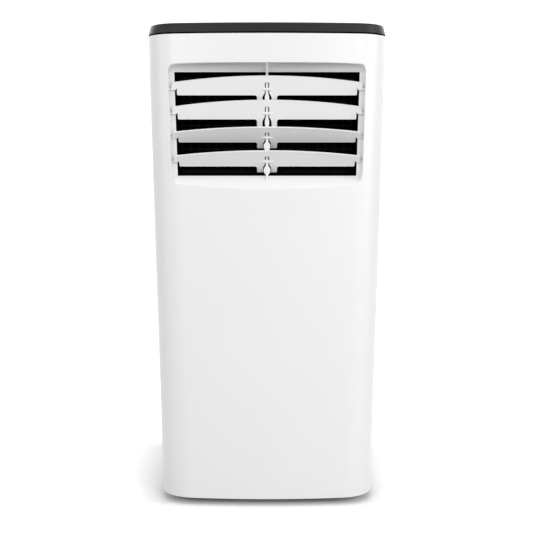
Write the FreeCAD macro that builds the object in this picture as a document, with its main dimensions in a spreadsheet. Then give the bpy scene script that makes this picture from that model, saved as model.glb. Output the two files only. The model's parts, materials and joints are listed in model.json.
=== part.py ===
import FreeCAD, Part
import math
import os
import re
import Sketcher

# Portable air conditioner, millimetres. The floor is z = 0, the front faces -Y and +X is the
# viewer's right. The casing narrows towards the floor; its front is bowed and its back is flat.

doc = FreeCAD.newDocument("portable_air_conditioner")
Vector = FreeCAD.Vector
sheet = doc.addObject("Spreadsheet::Sheet", "Sizes")
sums = doc.addObject("Spreadsheet::Sheet", "Sums")

SIZES = [
    # casing
    ("top_half", 168, "half the width at the lid seam"),
    ("bottom_half", 152.5, "half the width at the casing's lower edge"),
    ("front", -155, "foremost point of the bowed front"),
    ("back", 135, "flat back of the casing"),
    ("bow", 900, "radius of the bowed front, seen from above"),
    ("corner", 50, "radius of the front corners, seen from above"),
    ("rear_corner", 40, "radius of the rear corners, seen from above"),
    ("skin", 2.5, "wall thickness of the mouldings"),
    ("foot_gap", 10, "height of the casing's lower edge above the floor"),
    ("seam", 665, "height where the casing ends and the lid begins"),
    ("height", 680, "overall height"),
    ("parting", -45, "where the front and rear shells meet"),
    ("gap", 0.4, "assembly gap between neighbouring mouldings"),
    # lid and controls
    ("lid_lift", 1.5, "shadow gap under the lid"),
    ("lid_lean", 3.5, "how far the lid's side leans in"),
    ("panel_half", 105, "half the length of the control panel"),
    ("panel_front", -138, "front edge of the control panel"),
    ("panel_back", -88, "back edge of the control panel"),
    ("panel_sink", 0.5, "how far the control panel lies below the lid's top"),
    ("button", 8, "radius of a button"),
    ("button_travel", 1.2, "how far a button goes down"),
    # air outlet
    ("mouth_half", 137, "half the width of the recess at its upper edge"),
    ("mouth_foot_half", 132.8, "half the width of the recess at its lower edge"),
    ("mouth_top", 625, "height of the recess's upper edge"),
    ("mouth_bottom", 452.6, "height of the recess's lower edge at the foremost point"),
    ("upper_corner", 11, "radius of the recess's upper corners"),
    ("lower_corner", 24, "radius of the recess's lower corners"),
    ("mouth_depth", 22, "depth of the recess, from the foremost point to the frame"),
    ("cove", 20, "depth over which the ceiling curves down"),
    ("window_top", 613.8, "upper edge of the opening in the frame"),
    ("window_bottom", 470, "lower edge of the opening in the frame"),
    ("window_half", 129.2, "half the width of the opening at its upper edge"),
    ("window_foot_half", 125.5, "half the width of the opening at its lower edge"),
    ("frame_plate", 4, "thickness of the outlet frame"),
    # louvres
    ("first_pivot", 590, "height of the top louvre's pins"),
    ("pivot_pitch", 33.3, "distance between louvre pins"),
    ("pivot_y", -135, "depth of the louvre pins"),
    ("blade", 2.4, "thickness of a louvre blade"),
    ("blade_rise", 19.2, "reach of a blade above its pins, at the centre"),
    ("blade_drop", 8.5, "reach of a blade below its pins"),
    ("blade_bow", 915, "radius of a blade's upper edge"),
    ("blade_end", 5.5, "radius of a blade's upper corners"),
    ("spindle", 2.2, "radius of the centre spindle at its thickest"),
    ("tab_half", 14, "half the width of a blade's tab"),
    ("tab_drop", 19.2, "reach of the tab below the pins"),
    ("pin", 1.5, "radius of a side pin"),
    ("mullion_half", 1.7, "half the width of the middle bar"),
    ("steep_lean", 15, "lean of the two upper louvres, degrees"),
    ("open_lean", 42, "lean of the third louvre, degrees"),
    ("low_lean", 39, "lean of the lowest louvre, degrees"),
    # chassis
    ("pan_plate", 44, "underside of the base pan's floor"),
    ("pan_rim", 72, "top of the base pan's rim"),
    ("well", 34, "inner radius of a castor well"),
    ("castor_x", 104, "castor distance from the middle"),
    ("castor_front", -95, "depth of the front castors"),
    ("castor_rear", 82, "depth of the rear castors"),
    ("wheel", 16, "radius of a castor wheel"),
    ("trail", 12, "castor trail"),
    ("stem", 5, "radius of a castor stem"),
    # rear
    ("intake_half", 115, "half the width of both intake openings"),
    ("upper_low", 453, "lower edge of the upper intake"),
    ("upper_high", 640, "upper edge of the upper intake"),
    ("lower_low", 85, "lower edge of the lower intake"),
    ("lower_high", 285, "upper edge of the lower intake"),
    ("exhaust_z", 368, "height of the exhaust collar"),
    ("exhaust", 70, "outer radius of the exhaust collar"),
    ("exhaust_reach", 20, "how far the collar stands out of the back"),
    ("root_step", 1.5, "step in radius at the collar's root"),
    ("root_reach", 1, "how far the roots of the collar and the spout stand out of the back"),
    ("drain_z", 58, "height of the drain"),
    ("spout", 8, "outer radius of the drain spout"),
    ("spout_root", 9.2, "radius of the drain spout's root"),
    ("spout_reach", 15, "how far the drain spout stands out of the back"),
    ("handle_low", 592, "lower edge of a carry handle"),
    ("handle_high", 632, "upper edge of a carry handle"),
    ("handle_front", -12, "front end of a carry handle"),
    ("handle_back", 82, "rear end of a carry handle"),
    ("handle_floor", 143, "distance of the handle's floor from the middle"),
    # air side
    ("blower_y", 5, "depth of the blower's axis"),
    ("blower_z", 545, "height of the blower's axis"),
    ("blower", 48, "radius of the blower wheel"),
    ("shaft", 4, "radius of the fan shafts"),
    ("shelf", 450, "underside of the drip tray"),
    # heat side
    ("fan_x", -10, "condenser fan axis from the middle"),
    ("fan_z", 185, "height of the condenser fan's axis"),
    ("fan", 72, "radius of the condenser fan"),
    ("scroll", 90, "outer radius of the condenser fan's housing"),
    ("scroll_front", 32, "front of the condenser fan's housing"),
    ("scroll_back", 80, "back of the condenser fan's housing"),
    ("pump_x", -80, "compressor from the middle"),
    ("pump_y", -80, "depth of the compressor's axis"),
    ("pump", 48, "radius of the compressor"),
    ("pump_foot", 66, "underside of the compressor's foot plate"),
    ("pump_top", 235, "top of the compressor"),
    ("splash_x", 95, "splash wheel from the middle"),
    ("splash_z", 82, "height of the splash wheel's axis"),
    ("splash", 26, "radius of the splash wheel"),
]

for row, (alias, value, note) in enumerate(SIZES, start=1):
    sheet.set(f"A{row}", alias)
    sheet.set(f"B{row}", str(value))
    sheet.set(f"C{row}", note)
    sheet.setAlias(f"B{row}", alias)
doc.recompute()

ALIASES = {alias for alias, value, note in SIZES}
NODES = []
TURNS = {
    "x": FreeCAD.Rotation(Vector(0, 1, 0), 90),
    "y": FreeCAD.Rotation(Vector(1, 0, 0), -90),
    "z": FreeCAD.Rotation(),
}
PLANES = {
    "xy": (FreeCAD.Rotation(), "z"),
    "yz": (FreeCAD.Rotation(Vector(1, 1, 1), 120), "x"),
    "xz": (FreeCAD.Rotation(Vector(1, 0, 0), 90), "y"),
}


def formula(words):
    """Turn 'top_half - skin' into an expression on the sheet."""
    def link(match):
        return "Sizes." + match.group() if match.group() in ALIASES else match.group()
    return re.sub(r"[a-z][a-z_0-9]*", link, str(words))


def number(words):
    """The present value of a formula."""
    sums.set("A1", f"={formula(words)}")
    doc.recompute([sums])
    return float(sums.get("A1"))


def place(thing, x=0, y=0, z=0):
    for axis, words in zip("xyz", (x, y, z)):
        thing.setExpression(f"Placement.Base.{axis}", formula(words))
    return thing


def keep(label, thing):
    """Name a finished sub-part."""
    thing.Label = label
    NODES.append(thing)
    return thing


def block(x, y, z):
    """A block between a pair of formulas along each axis."""
    thing = doc.addObject("Part::Box", "block")
    for side, (low, high) in zip(("Length", "Width", "Height"), (x, y, z)):
        thing.setExpression(side, formula(f"({high}) - ({low})"))
    return place(thing, x[0], y[0], z[0])


def set_along(thing, axis, span, at):
    """Lay a rod or cone along an axis, over a span, at its two other coordinates."""
    thing.setExpression("Height", formula(f"({span[1]}) - ({span[0]})"))
    thing.Placement = FreeCAD.Placement(Vector(), TURNS[axis])
    centre = dict(zip([other for other in "xyz" if other != axis], at))
    centre[axis] = span[0]
    return place(thing, centre["x"], centre["y"], centre["z"])


def rod(axis, radius, span, at):
    thing = doc.addObject("Part::Cylinder", "rod")
    thing.setExpression("Radius", formula(radius))
    return set_along(thing, axis, span, at)


def cone(axis, radii, span, at):
    thing = doc.addObject("Part::Cone", "cone")
    thing.setExpression("Radius1", formula(radii[0]))
    thing.setExpression("Radius2", formula(radii[1]))
    return set_along(thing, axis, span, at)


def join(*things):
    thing = doc.addObject("Part::MultiFuse", "join")
    thing.Shapes = list(things)
    thing.Refine = True
    return thing


def group(*things):
    """Separate solids that share one node."""
    thing = doc.addObject("Part::Compound", "group")
    thing.Links = list(things)
    return thing


def cut(base, *tools):
    thing = doc.addObject("Part::Cut", "cut")
    thing.Base = base
    thing.Tool = tools[0] if len(tools) == 1 else group(*tools)
    thing.Refine = True
    return thing


def common(one, other):
    thing = doc.addObject("Part::Common", "common")
    thing.Base = one
    thing.Tool = other
    thing.Refine = True
    return thing


def rounded(base, radius, chosen):
    """Round the edges that a test picks out."""
    doc.recompute()
    size = number(radius)
    thing = doc.addObject("Part::Fillet", "rounded")
    thing.Base = base
    thing.Edges = [(count, size, size) for count, edge in enumerate(base.Shape.Edges, start=1) if chosen(edge)]
    return thing


def upright(edge):
    """True for a straight vertical edge."""
    return isinstance(edge.Curve, Part.Line) and abs(edge.tangentAt(edge.FirstParameter).z) > 0.99


def outline(plane, at, points):
    """A closed sketch whose corners are pairs of formulas."""
    sketch = doc.addObject("Sketcher::SketchObject", "outline")
    turn, axis = PLANES[plane]
    sketch.Placement = FreeCAD.Placement(Vector(), turn)
    place(sketch, **{axis: at})
    return polygon(sketch, points)


def polygon(sketch, points):
    places = [(number(across), number(up)) for across, up in points]
    count = len(places)
    for corner, (across, up) in enumerate(places):
        after = places[(corner + 1) % count]
        sketch.addGeometry(Part.LineSegment(Vector(across, up, 0), Vector(after[0], after[1], 0)), False)
    for corner in range(count):
        sketch.addConstraint(Sketcher.Constraint("Coincident", corner, 2, (corner + 1) % count, 1))
    for corner, (across, up) in enumerate(places):
        for kind, value, words in zip(("DistanceX", "DistanceY"), (across, up), points[corner]):
            bound = sketch.addConstraint(Sketcher.Constraint(kind, -1, 1, corner, 1, value))
            sketch.setExpression(f"Constraints[{bound}]", formula(words))
    return sketch


def prism(plane, span, points):
    """A sketch pushed out along its plane's axis, over a span."""
    towards_viewer = plane == "xz"
    sketch = outline(plane, span[1] if towards_viewer else span[0], points)
    thing = doc.addObject("Part::Extrusion", "prism")
    thing.Base = sketch
    thing.DirMode = "Normal"
    thing.Solid = True
    thing.setExpression("LengthFwd", formula(f"({span[1]}) - ({span[0]})"))
    return thing


def plan(at, half, inset):
    """The casing's outline seen from above: bowed front, round corners, flat back."""
    sketch = doc.addObject("Sketcher::SketchObject", "plan")
    place(sketch, z=at)
    side = number(f"{half} - ({inset})")
    near = number(f"front + ({inset})")
    far = number(f"back - ({inset})")
    bow = number(f"bow - ({inset})")
    corner = number(f"corner - ({inset})")
    rear = number(f"rear_corner - ({inset})")
    bow_centre = near + bow
    corner_x = side - corner
    corner_y = bow_centre - math.sqrt((bow - corner) ** 2 - corner_x ** 2)
    swing = math.asin(corner_x / (bow - corner))
    right_angle = math.pi / 2

    def arc(x, y, radius, start, stop):
        circle = Part.Circle(Vector(x, y, 0), Vector(0, 0, 1), radius)
        sketch.addGeometry(Part.ArcOfCircle(circle, start, stop), False)

    def line(start, stop):
        sketch.addGeometry(Part.LineSegment(Vector(*start, 0), Vector(*stop, 0)), False)

    arc(0, bow_centre, bow, 3 * right_angle - swing, 3 * right_angle + swing)
    arc(corner_x, corner_y, corner, 3 * right_angle + swing, 4 * right_angle)
    line((side, corner_y), (side, far - rear))
    arc(side - rear, far - rear, rear, 0, right_angle)
    line((side - rear, far), (rear - side, far))
    arc(rear - side, far - rear, rear, right_angle, 2 * right_angle)
    line((-side, far - rear), (-side, corner_y))
    arc(-corner_x, corner_y, corner, 2 * right_angle, 3 * right_angle - swing)
    count = sketch.GeometryCount
    for piece in range(count):
        sketch.addConstraint(Sketcher.Constraint("Tangent", piece, 2, (piece + 1) % count, 1))
    sketch.addConstraint(Sketcher.Constraint("Horizontal", 4))
    sketch.addConstraint(Sketcher.Constraint("Vertical", 2))
    sketch.addConstraint(Sketcher.Constraint("Vertical", 6))
    sketch.addConstraint(Sketcher.Constraint("PointOnObject", 0, 3, -2))
    rules = [
        (("Radius", 0, bow), f"bow - ({inset})"),
        (("Radius", 1, corner), f"corner - ({inset})"),
        (("Radius", 7, corner), f"corner - ({inset})"),
        (("Radius", 3, rear), f"rear_corner - ({inset})"),
        (("Radius", 5, rear), f"rear_corner - ({inset})"),
        (("DistanceX", -1, 1, 2, 1, side), f"{half} - ({inset})"),
        (("DistanceX", -1, 1, 6, 1, -side), f"({inset}) - {half}"),
        (("DistanceY", -1, 1, 4, 1, far), f"back - ({inset})"),
        (("DistanceY", -1, 1, 0, 3, bow_centre), "front + bow"),
    ]
    for rule, words in rules:
        bound = sketch.addConstraint(Sketcher.Constraint(*rule))
        sketch.setExpression(f"Constraints[{bound}]", formula(words))
    return sketch


def loft(*sketches):
    thing = doc.addObject("Part::Loft", "loft")
    thing.Sections = list(sketches)
    thing.Solid = True
    thing.Ruled = True
    return thing


def casing_half(at):
    """Half the casing's width at a height."""
    return f"(bottom_half + (top_half - bottom_half) * (({at}) - foot_gap) / (seam - foot_gap))"


def casing_volume(inset, low="foot_gap - 2", high="seam + 2"):
    """The casing's volume, drawn in by an inset on every side."""
    slab = prism("xz", ("front - 5", f"back - ({inset})"), [
        (f"({inset}) - {casing_half(low)}", low), (f"{casing_half(low)} - ({inset})", low),
        (f"{casing_half(high)} - ({inset})", high), (f"({inset}) - {casing_half(high)}", high),
    ])
    bowed = common(slab, rod("z", f"bow - ({inset})", (f"({low}) - 1", f"({high}) + 1"), (0, "front + bow")))
    tall = number(f"({high}) - ({low})") - 0.5
    bowed = rounded(bowed, f"corner - ({inset})",
                    lambda edge: edge.BoundBox.ZLength > tall and edge.BoundBox.YMax < 0)
    return rounded(bowed, f"rear_corner - ({inset})",
                   lambda edge: edge.BoundBox.ZLength > tall and edge.BoundBox.YMin > 120)


def body_plane(body, role):
    return next(plane for plane in body.Origin.OriginFeatures if plane.Role == role)


def body_sketch(body, role, points):
    sketch = body.newObject("Sketcher::SketchObject", "profile")
    sketch.AttachmentSupport = (body_plane(body, role), [""])
    sketch.MapMode = "FlatFace"
    return polygon(sketch, points)


def turned(body, points):
    """Add a revolved ring or disc to a body; points are pairs of radius and height."""
    sketch = body_sketch(body, "XZ_Plane", points)
    spin = body.newObject("PartDesign::Revolution", "turned")
    spin.Profile = sketch
    spin.ReferenceAxis = (sketch, ["V_Axis"])
    spin.Angle = 360
    return spin


def new_body(axis, x, y, z):
    body = doc.addObject("PartDesign::Body", "piece")
    body.Placement = FreeCAD.Placement(Vector(), TURNS[axis])
    return place(body, x, y, z)


def fan_wheel(body, radius, depth, length, count, near_end, far_end):
    """A drum of blades between two turned ends; its axis is the body's Z."""
    turned(body, near_end)
    inner = f"{radius} - {depth}"
    sketch = body_sketch(body, "XY_Plane", [(inner, -0.6), (radius, 1.4), (radius, 2.6), (inner, 0.6)])
    vane = body.newObject("PartDesign::Pad", "vane")
    vane.Profile = sketch
    vane.setExpression("Length", formula(length))
    ring = body.newObject("PartDesign::PolarPattern", "vanes")
    ring.Originals = [vane]
    ring.Axis = (sketch, ["N_Axis"])
    ring.Angle = 360
    ring.Occurrences = count
    body.Tip = ring
    doc.recompute()
    turned(body, far_end)


# --- casing ---------------------------------------------------------------------------------

FRAME_Y = "front + mouth_depth"
BAR_FRONT = "pivot_y - 1"
BAR_BACK = "pivot_y + 4.5"
MOUTH_SLOPE = "(window_bottom - mouth_bottom) / mouth_depth"
COVE_RADIUS = "(cove ^ 2 + (mouth_top - window_top) ^ 2) / (2 * (mouth_top - window_top))"
PIVOTS = [f"first_pivot - {step} * pivot_pitch" for step in range(4)]
LEANS = ["steep_lean", "steep_lean", "open_lean", "low_lean"]
FLARES = [3, 3, 4.6, 4.6]


def mouth_half(at):
    """Half the width of the recess at a height."""
    rise = f"(({at}) - mouth_bottom) / (mouth_top - mouth_bottom)"
    return f"(mouth_foot_half + (mouth_half - mouth_foot_half) * {rise})"


def window_half(at):
    """Half the width of the opening in the frame at a height."""
    rise = f"(({at}) - window_bottom) / (window_top - window_bottom)"
    return f"(window_foot_half + (window_half - window_foot_half) * {rise})"


def recess(grow):
    """The outlet recess as a solid: coved ceiling, sloping floor, sides that follow the casing."""
    outside = "front - 20"
    side = prism("yz", ("-150", "150"), [
        (outside, f"mouth_top + {grow}"),
        (FRAME_Y, f"mouth_top + {grow}"),
        (FRAME_Y, f"window_bottom - {grow}"),
        ("front", f"mouth_bottom - {grow}"),
        (outside, f"mouth_bottom - {grow} - 20 * {MOUTH_SLOPE}"),
    ])
    cove_start = f"{FRAME_Y} - cove"
    cove_centre = f"mouth_top + {grow} - {COVE_RADIUS}"
    cove_block = block((-150, 150), (cove_start, f"{FRAME_Y} + 1"), (cove_centre, f"mouth_top + {grow} + 1"))
    cove_waste = cut(cove_block, rod("x", COVE_RADIUS, (-151, 151), (cove_start, cove_centre)))
    low = f"mouth_bottom - {grow}"
    high = f"mouth_top + {grow}"
    width = prism("xz", ("front - 21", f"{FRAME_Y} + 1"), [
        (f"-{mouth_half(low)} - {grow}", low),
        (f"{mouth_half(low)} + {grow}", low),
        (f"{mouth_half(high)} + {grow}", high),
        (f"-{mouth_half(high)} - {grow}", high),
    ])
    middle = number("(mouth_top + mouth_bottom) / 2")
    width = rounded(width, f"upper_corner + {grow}", lambda edge: runs_inwards(edge) > middle)
    width = rounded(width, f"lower_corner + {grow}", lambda edge: 0 < runs_inwards(edge) < middle)
    return common(cut(side, cove_waste), width)


def runs_inwards(edge):
    """The height of a straight edge that runs from front to back, or 0 for any other edge."""
    box = edge.BoundBox
    return box.ZMin if box.YLength > 5 and box.XLength < 1 and box.ZLength < 1 else 0


outer = casing_volume("0", "foot_gap", "seam")
walls = cut(outer, casing_volume("skin"))
front_zone = block((-200, 200), (-200, "parting - gap / 2"), (0, 700))
rear_zone = block((-200, 200), ("parting + gap / 2", 200), (0, 700))


def pin_notches():
    """Round-bottomed notches in the recess's sides, which trap the louvre pins."""
    notches = []
    radius = "pin + 0.08"
    for pivot in PIVOTS:
        for low, high in ((f"-{mouth_half(pivot)} - 4", f"-{mouth_half(pivot)} + 1"),
                          (f"{mouth_half(pivot)} - 1", f"{mouth_half(pivot)} + 4")):
            seat = rod("x", radius, (low, high), ("pivot_y", pivot))
            way_in = block((low, high), ("pivot_y", f"{FRAME_Y} + 1"),
                           (f"{pivot} - {radius}", f"{pivot} + {radius}"))
            notches.append(join(seat, way_in))
    return notches


def front_shell():
    funnel = common(recess("skin"), casing_volume("skin / 2"))
    shell = join(common(walls, front_zone), funnel)
    return cut(shell, recess("0"), *pin_notches())


def rear_shell(screw_places):
    upper = block(("-intake_half", "intake_half"), (120, 140), ("upper_low", "upper_high"))
    lower = block(("-intake_half", "intake_half"), (120, 140), ("lower_low", "lower_high"))
    exhaust_hole = rod("y", "exhaust + root_step + gap", (120, 140), (0, "exhaust_z"))
    drain_hole = rod("y", "spout_root + gap", (120, 140), (0, "drain_z"))
    cable_hole = rod("y", "8.3", (120, 140), CABLE)
    screw_holes = [rod("y", "2.3", (120, 140), at) for at in screw_places]
    handles = [
        block(span, ("handle_front - gap", "handle_back + gap"), ("handle_low - gap", "handle_high + gap"))
        for span in ((-180, -150), (150, 180))
    ]
    return cut(common(walls, rear_zone), upper, lower, exhaust_hole, drain_hole, cable_hole,
               *screw_holes, *handles)


def handle_cup(side):
    """A recessed carry handle, open outwards, trimmed flush with the casing."""
    near, far = ("handle_floor", 180) if side > 0 else (-180, "-handle_floor")
    inside = ("handle_floor + skin", 181) if side > 0 else (-181, "-handle_floor - skin")
    shell = block((near, far), ("handle_front", "handle_back"), ("handle_low", "handle_high"))
    hollow = block(inside, ("handle_front + skin", "handle_back - skin"),
                   ("handle_low + skin", "handle_high - skin"))
    return common(cut(shell, hollow), outer)


def screws(screw_places):
    """Pan-head casing screws, driven in from the back."""
    pieces = []
    for at in screw_places:
        shank = rod("y", "1.9", ("back - 9", "back + 0.5"), at)
        head = rod("y", "3.9", ("back + 0.2", "back + 2"), at)
        drive = block((f"{at[0]} - 1.6", f"{at[0]} + 1.6"), ("back + 1.2", "back + 3"),
                      (f"{at[1]} - 0.5", f"{at[1]} + 0.5"))
        pieces.append(cut(join(shank, head), drive))
    return group(*pieces)


SCREWS = [(-108, 652), (108, 652), (-108, 440), (108, 440), (-108, 297), (92, 297), (-100, 78), (100, 78)]
CABLE = (108, 322)

keep("front_shell", front_shell())
keep("rear_shell", rear_shell(SCREWS))
keep("left_handle_cup", handle_cup(-1))
keep("right_handle_cup", handle_cup(1))
keep("casing_screws", screws(SCREWS))

# --- lid and controls -----------------------------------------------------------------------

BUTTONS = {
    "power_button": -88,
    "mode_button": -64,
    "fan_speed_button": -40,
    "timer_button": 40,
    "temperature_down_button": 64,
    "temperature_up_button": 88,
}
PANEL_Y = "(panel_front + panel_back) / 2"
PANEL = (("-panel_half", "panel_half"), ("panel_front", "panel_back"))


def top_lid():
    """The lid: leaning sides, a rounded rim, a pocket for the panel and a lip inside the casing."""
    lid = loft(plan("seam + lid_lift", "top_half", "0"), plan("height", "top_half", "lid_lean"))
    lid = rounded(lid, "3", lambda edge: edge.BoundBox.ZMin > number("height") - 0.1)
    hollow = loft(plan("seam + lid_lift - 1", "top_half", "skin"),
                  plan("height - 3", "top_half", "lid_lean + skin"))
    lip = cut(casing_volume("skin + gap", "seam - 8", "seam + lid_lift + 0.5"),
              casing_volume("skin + gap + 2", "seam - 9", "seam + lid_lift + 1"))
    pocket = block(PANEL[0], PANEL[1], ("height - panel_sink - 1", "height + 1"))
    window = block((-20, 20), (f"{PANEL_Y} - 9", f"{PANEL_Y} + 9"), ("height - 8", "height + 1"))
    holes = [rod("z", "button + 0.4", ("height - 8", "height + 1"), (x, PANEL_Y)) for x in BUTTONS.values()]
    return cut(join(cut(lid, hollow), lip), rounded(pocket, "6", upright), window, *holes)


def control_panel():
    sheet_block = block(("-panel_half + 0.2", "panel_half - 0.2"), ("panel_front + 0.2", "panel_back - 0.2"),
                        ("height - panel_sink - 1", "height - panel_sink"))
    window = block((-20, 20), (f"{PANEL_Y} - 9", f"{PANEL_Y} + 9"), ("height - 8", "height + 1"))
    holes = [rod("z", "button + 0.4", ("height - 8", "height + 1"), (x, PANEL_Y)) for x in BUTTONS.values()]
    return cut(rounded(sheet_block, "5.8", upright), window, *holes)


def push_button(x):
    """A round button with a flange that stops it under the lid."""
    stem = rod("z", "button", ("height - 9", "height"), (x, PANEL_Y))
    stem = rounded(stem, "0.8", lambda edge: edge.BoundBox.ZMin > number("height") - 0.1)
    flange = rod("z", "button + 2", ("height - 9", "height - 7.5"), (x, PANEL_Y))
    return join(stem, flange)


def display_board():
    """The board under the panel, with one switch under each button."""
    board = block((-98, 98), (f"{PANEL_Y} - 20", f"{PANEL_Y} + 20"), ("seam - 1", "seam + 0.6"))
    switches = [
        block((f"{x} - 3", f"{x} + 3"), (f"{PANEL_Y} - 3", f"{PANEL_Y} + 3"), ("seam + 0.6", "seam + 4.2"))
        for x in BUTTONS.values()
    ]
    digits = block((-18, 18), (f"{PANEL_Y} - 7", f"{PANEL_Y} + 7"), ("seam + 0.6", "seam + 10"))
    return join(board, digits, *switches)


keep("top_lid", top_lid())
keep("control_panel", control_panel())
keep("display_window", block((-19.8, 19.8), (f"{PANEL_Y} - 8.8", f"{PANEL_Y} + 8.8"),
                             ("height - 3", "height - panel_sink")))
for label, x in BUTTONS.items():
    keep(label, push_button(x))
keep("display_board", display_board())

# --- air outlet -----------------------------------------------------------------------------


def pivot_lugs():
    """Lugs behind the recess's sides that close the pin notches."""
    lugs = []
    for pivot in PIVOTS:
        for side in (-1, 1):
            near = f"{mouth_half(pivot)} + skin + 0.4"
            far = f"{mouth_half(pivot)} + skin + 3.5"
            span = (near, far) if side > 0 else (f"-({far})", f"-({near})")
            lugs.append(block(span, (f"{FRAME_Y} - 4", f"{FRAME_Y} + 1"), (f"{pivot} - 5", f"{pivot} + 5")))
    return lugs


def mullion():
    """The middle bar: an open seat for each louvre's spindle, a fin at each end."""
    flares = []
    for pivot, flare in zip(PIVOTS, FLARES):
        flares.append(prism("xz", (BAR_FRONT, "pivot_y + 0.6"), [
            ("-mullion_half", f"{pivot} - 6"), (-flare, f"{pivot} - 10"), (-flare, f"{pivot} - 15"),
            ("-mullion_half", f"{pivot} - 19"), ("mullion_half", f"{pivot} - 19"),
            (flare, f"{pivot} - 15"), (flare, f"{pivot} - 10"), ("mullion_half", f"{pivot} - 6"),
        ]))
    bar = block(("-mullion_half", "mullion_half"), (BAR_FRONT, BAR_BACK), (450, 630))
    lower_fin = prism("yz", (-1.2, 1.2), [("pivot_y - 11", 455), ("pivot_y + 1", 455), ("pivot_y + 1", 486)])
    upper_fin = prism("yz", (-1.2, 1.2), [("pivot_y - 17", 626), ("pivot_y + 1", 608), ("pivot_y + 1", 626)])
    front = common(join(bar, lower_fin, upper_fin, *flares), recess("0"))
    tail = block(("-mullion_half", "mullion_half"), (FRAME_Y, BAR_BACK),
                 ("window_bottom - 4", "window_top + 4"))
    holes = [rod("x", "spindle + 0.15", (-10, 10), ("pivot_y", pivot)) for pivot in PIVOTS]
    return cut(join(front, tail), *holes)


def outlet_frame():
    def trapezoid(span, low, high, margin, half):
        return prism("xz", span, [
            (f"-{half(low)} - ({margin})", low), (f"{half(low)} + ({margin})", low),
            (f"{half(high)} + ({margin})", high), (f"-{half(high)} - ({margin})", high),
        ])
    back_of_plate = f"{FRAME_Y} + frame_plate"
    plate = trapezoid((FRAME_Y, back_of_plate), "window_bottom - 9", "window_top + 9",
                      "skin + 4", mouth_half)
    window = trapezoid((f"{FRAME_Y} - 1", f"{back_of_plate} + 1"), "window_bottom", "window_top",
                       "0", window_half)
    return join(cut(plate, window), mullion(), *pivot_lugs())


def louvre(step):
    """A louvre with a bowed upper edge, a slotted tab, two side pins and a centre spindle."""
    pivot = PIVOTS[step]
    upper_half = f"({mouth_half(pivot)} - 3.2)"
    lower_half = f"({window_half(pivot)} - 2.6)"
    pin_end = f"({mouth_half(pivot)} + 1.7)"
    thick = ("-blade / 2", "blade / 2")
    upper = common(block((f"-{upper_half}", upper_half), thick, ("pin / 2", "blade_rise")),
                   rod("y", "blade_bow", (-5, 5), (0, "blade_rise - blade_bow")))
    beyond = number(upper_half) - 0.1
    upper = rounded(upper, "blade_end", lambda edge: edge.BoundBox.XLength < 0.1 and edge.BoundBox.ZLength < 0.1
                    and abs(edge.BoundBox.XMin) > beyond and edge.BoundBox.ZMin > 5)
    lower = block((f"-{lower_half}", lower_half), thick, ("-blade_drop", "pin"))
    lower = rounded(lower, "2", lambda edge: edge.BoundBox.ZMax < -8 and edge.BoundBox.XLength < 1)
    tab = block(("-tab_half", "tab_half"), thick, ("-tab_drop", 0))
    tab = rounded(tab, "1.5", lambda edge: edge.BoundBox.ZMax < -10 and edge.BoundBox.XLength < 1)
    gussets = []
    for side in (-1, 1):
        corner = block(("tab_half", "tab_half + 3") if side > 0 else ("-tab_half - 3", "-tab_half"),
                       thick, ("-blade_drop - 3", "-blade_drop"))
        gussets.append(cut(corner, rod("y", 3, (-5, 5), (f"{side} * (tab_half + 3)", "-blade_drop - 3"))))
    foot = 6.3 if step < 2 else 5.6
    slot = prism("xz", (-5, 5), [
        (-2.5, 9.5), (-3, 9), (-3, -4), (-3.4, -6), (0.7 - foot, -9), (-foot, -12), (-foot, -20),
        (foot, -20), (foot, -12), (foot - 0.7, -9), (3.4, -6), (3, -4), (3, 9), (2.5, 9.5),
    ])
    pins = [
        rod("x", "pin", (f"{lower_half} - 5", pin_end), (0, 0)),
        rod("x", "pin", (f"-{pin_end}", f"5 - {lower_half}"), (0, 0)),
    ]
    spindle = [cone("x", ("blade / 2", "spindle"), (-9.6, 0), (0, 0)),
               cone("x", ("spindle", "blade / 2"), (0, 9.6), (0, 0))]
    blade = join(cut(join(upper, lower, tab, *gussets), slot), *pins, *spindle)
    blade.Placement = FreeCAD.Placement(Vector(), FreeCAD.Rotation(Vector(1, 0, 0), number(LEANS[step])))
    return place(blade, 0, "pivot_y", pivot)


def outlet_guard():
    """The black grid that keeps fingers out of the blower."""
    near, far = "pivot_y + 23", "pivot_y + 26"
    low, high = "window_bottom + 3.5", "window_top - 6"
    rails = [block((f"-{window_half(low)}", window_half(low)), (near, far), span)
             for span in ((low, f"{low} + 4"), (f"{high} - 4", high))]
    wires = [block((f"{x} - 0.8", f"{x} + 0.8"), (f"{near} + 1.2", far), (low, high))
             for x in range(-120, 121, 12)]
    cross = [block((f"-{window_half(low)}", window_half(low)), (near, f"{near} + 1.6"),
                   (f"{low} + {rise} - 0.8", f"{low} + {rise} + 0.8")) for rise in range(12, 130, 11)]
    return join(*rails, *wires, *cross)


def blower_housing():
    """Side cheeks, a guide wall behind the wheel and a tongue above it."""
    duct_y = f"{FRAME_Y} + frame_plate + 0.4"
    cheek_z = ("window_bottom - 3", "window_top + 4")
    cheeks = [block(span, (duct_y, 62), cheek_z) for span in ((-133, -130.5), (130.5, 133))]
    inside = (-131, 131)
    ring = cut(rod("x", "blower + 8.5", inside, ("blower_y", "blower_z")),
               rod("x", "blower + 6", (-140, 140), ("blower_y", "blower_z")))
    guide = common(ring, block(inside, ("blower_y", 70), (480, 585)))
    floor = prism("yz", inside, [(duct_y, "window_bottom - 3"), ("blower_y + 1", "blower_z - blower - 8.5"),
                                 ("blower_y + 1", "blower_z - blower - 6"), (duct_y, "window_bottom - 0.6")])
    tongue = prism("yz", inside, [(duct_y, "window_top + 4"), (duct_y, "window_top + 1.6"),
                                  (-36, 584), (-34, 586)])
    bearings = rod("x", "shaft + 0.06", (-150, 150), ("blower_y", "blower_z"))
    return cut(join(*cheeks, guide, floor, tongue), bearings)


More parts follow.
